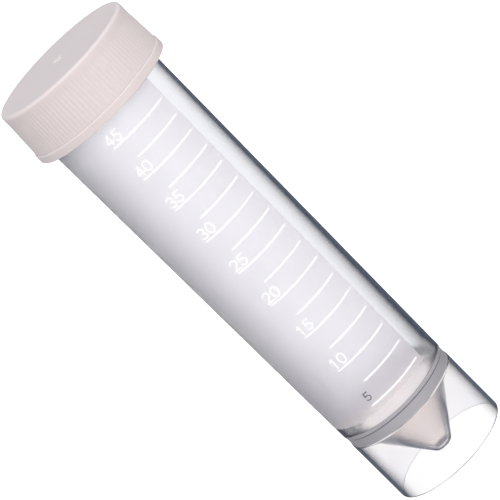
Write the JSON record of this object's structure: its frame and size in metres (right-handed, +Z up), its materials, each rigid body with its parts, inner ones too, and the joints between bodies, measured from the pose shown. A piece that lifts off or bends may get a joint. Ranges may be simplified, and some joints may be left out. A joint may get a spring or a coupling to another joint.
{
  "type": "self-standing 50 ml conical tube",
  "caption": "Clear self-standing conical centrifuge tube on an open skirt, closed by an opaque ribbed screw cap that lifts off.",
  "frame": {"origin": "centre of the skirt's foot, on the surface the tube stands on", "axes": "+Z up along the tube's axis, towards the cap; the graduation faces -Y and reads the right way up with +X to the right"},
  "size_m": [0.0344, 0.0344, 0.118],
  "materials": {
    "clear_plastic": "clear, glossy, with a frosted field behind the white graduation",
    "cap_plastic": "satin, warm off-white"
  },
  "bodies": {
    "tube": {"tube": "clear_plastic"},
    "cap": {"cap": "cap_plastic"}
  },
  "joints": [
    {"name": "cap_lift", "type": "slide", "parent": "tube", "child": "cap", "axis": [0, 0, 1], "range_m": [0, 0.03]}
  ]
}
